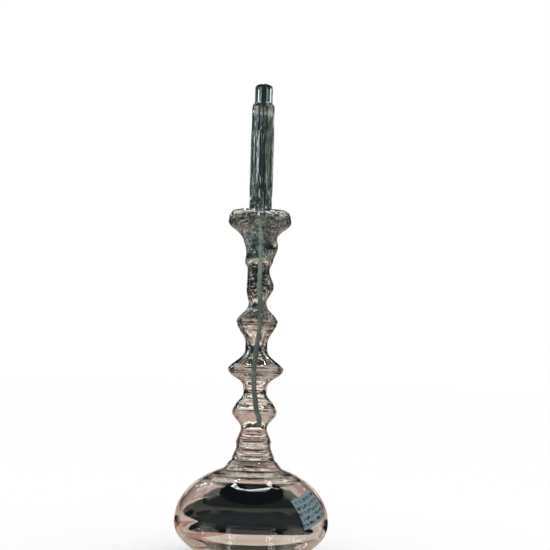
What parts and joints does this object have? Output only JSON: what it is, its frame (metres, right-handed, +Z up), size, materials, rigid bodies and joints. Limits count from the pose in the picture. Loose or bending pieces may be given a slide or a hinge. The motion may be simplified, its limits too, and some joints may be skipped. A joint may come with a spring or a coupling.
{
  "type": "oil lamp",
  "caption": "Blown-glass oil lamp shaped as a candlestick: round reservoir, knopped hollow stem, drip pan and fluted glass candle that lifts out with its hanging wick.",
  "frame": {"origin": "centre of the flat foot, on the surface that the lamp stands on", "axes": "+Z up along the stem, -Y towards the front, +X to the right as seen from the front"},
  "size_m": [0.1216, 0.1216, 0.3805],
  "materials": {
    "rosy_glass": "fire-polished blown glass with a faint rosy cast",
    "clear_glass": "fire-polished clear blown glass",
    "smoky_glass": "fire-polished glass, dark green-grey where it is thick",
    "wick_cotton": "round braided cotton",
    "label_paper": "matt paper, bare"
  },
  "bodies": {
    "lamp_base": {"reservoir": "rosy_glass", "neck": "rosy_glass", "lower_knop": "clear_glass", "middle_knop": "clear_glass", "upper_knop": "clear_glass", "upper_stem": "clear_glass", "drip_pan": "clear_glass", "price_label": "label_paper"},
    "candle": {"candle_tube": "smoky_glass"},
    "holder": {"wick_holder": "smoky_glass", "wick": "wick_cotton"}
  },
  "joints": [
    {"name": "candle_lift", "type": "slide", "parent": "lamp_base", "child": "candle", "axis": [0, 0, 1], "range_m": [0, 0.045]},
    {"name": "holder_lift", "type": "slide", "parent": "candle", "child": "holder", "axis": [0, 0, 1], "range_m": [0, 0.025]}
  ]
}
